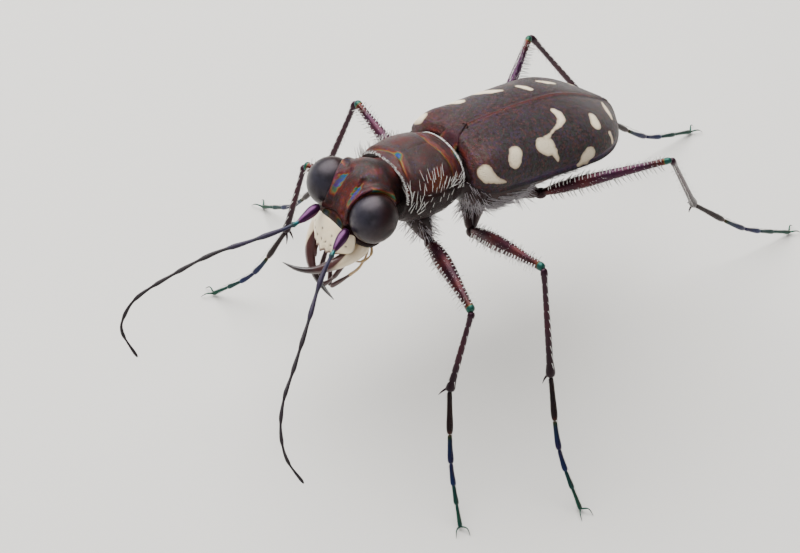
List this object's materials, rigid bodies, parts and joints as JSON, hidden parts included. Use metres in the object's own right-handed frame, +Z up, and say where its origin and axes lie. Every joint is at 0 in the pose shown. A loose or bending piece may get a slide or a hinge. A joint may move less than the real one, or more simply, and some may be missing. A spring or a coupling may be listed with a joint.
{
  "type": "tiger beetle",
  "caption": "Life-size tiger beetle standing tall on long thin legs, sickle jaws crossed, feelers swept forward, dark wing cases with cream spots.",
  "frame": {"origin": "on the floor, under the middle of the beetle's box, feelers and feet included", "axes": "the beetle faces -Y, its left side is +X, and +Z is up"},
  "size_m": [0.0194, 0.0272, 0.0103],
  "materials": {
    "wing_cases": "dull dark maroon-brown shell with fine punctures, cream spots and a coppery seam",
    "prothorax": "satin coppery maroon with green-blue sheen in the cross grooves and white bristles at the sides",
    "head": "satin coppery maroon with blue-green streaks between the eyes",
    "eyes": "polished grey-black, finely faceted",
    "upper_lip": "satin cream with small dark pits",
    "jaws": "glossy black-maroon with cream outer bases",
    "palps": "glossy dark maroon",
    "feelers": "metallic purple at the root, dull grey-brown towards the tip",
    "legs": "glossy maroon-purple, green at the knees and feet, with rows of white bristles",
    "underside": "dark maroon metallic with silvery white hairs at the sides"
  },
  "bodies": {
    "root": {"head": "head", "eye_left": "eyes", "eye_right": "eyes", "labrum": "upper_lip", "mandible_left": "jaws", "mandible_right": "jaws", "maxillary_palp_left": "palps", "maxillary_palp_right": "palps", "labial_palp_left": "palps", "labial_palp_right": "palps", "antenna_left_scape": "feelers", "antenna_left_base": "feelers", "antenna_left_middle": "feelers", "antenna_left_tip": "feelers", "antenna_right_scape": "feelers", "antenna_right_base": "feelers", "antenna_right_middle": "feelers", "antenna_right_tip": "feelers", "prothorax": "prothorax", "scutellum": "prothorax", "hind_thorax": "underside", "abdomen": "underside", "elytron_left": "wing_cases", "elytron_right": "wing_cases", "coxa_fore_left": "legs", "coxa_fore_right": "legs", "coxa_mid_left": "legs", "coxa_mid_right": "legs", "coxa_hind_left": "legs", "coxa_hind_right": "legs", "femur_fore_left": "legs", "femur_fore_right": "legs", "femur_mid_left": "legs", "femur_mid_right": "legs", "femur_hind_left": "legs", "femur_hind_right": "legs", "tibia_fore_left": "legs", "tibia_fore_right": "legs", "tibia_mid_left": "legs", "tibia_mid_right": "legs", "tibia_hind_left": "legs", "tibia_hind_right": "legs", "tarsus_fore_left": "legs", "tarsus_fore_right": "legs", "tarsus_mid_left": "legs", "tarsus_mid_right": "legs", "tarsus_hind_left": "legs", "tarsus_hind_right": "legs"}
  },
  "joints": []
}
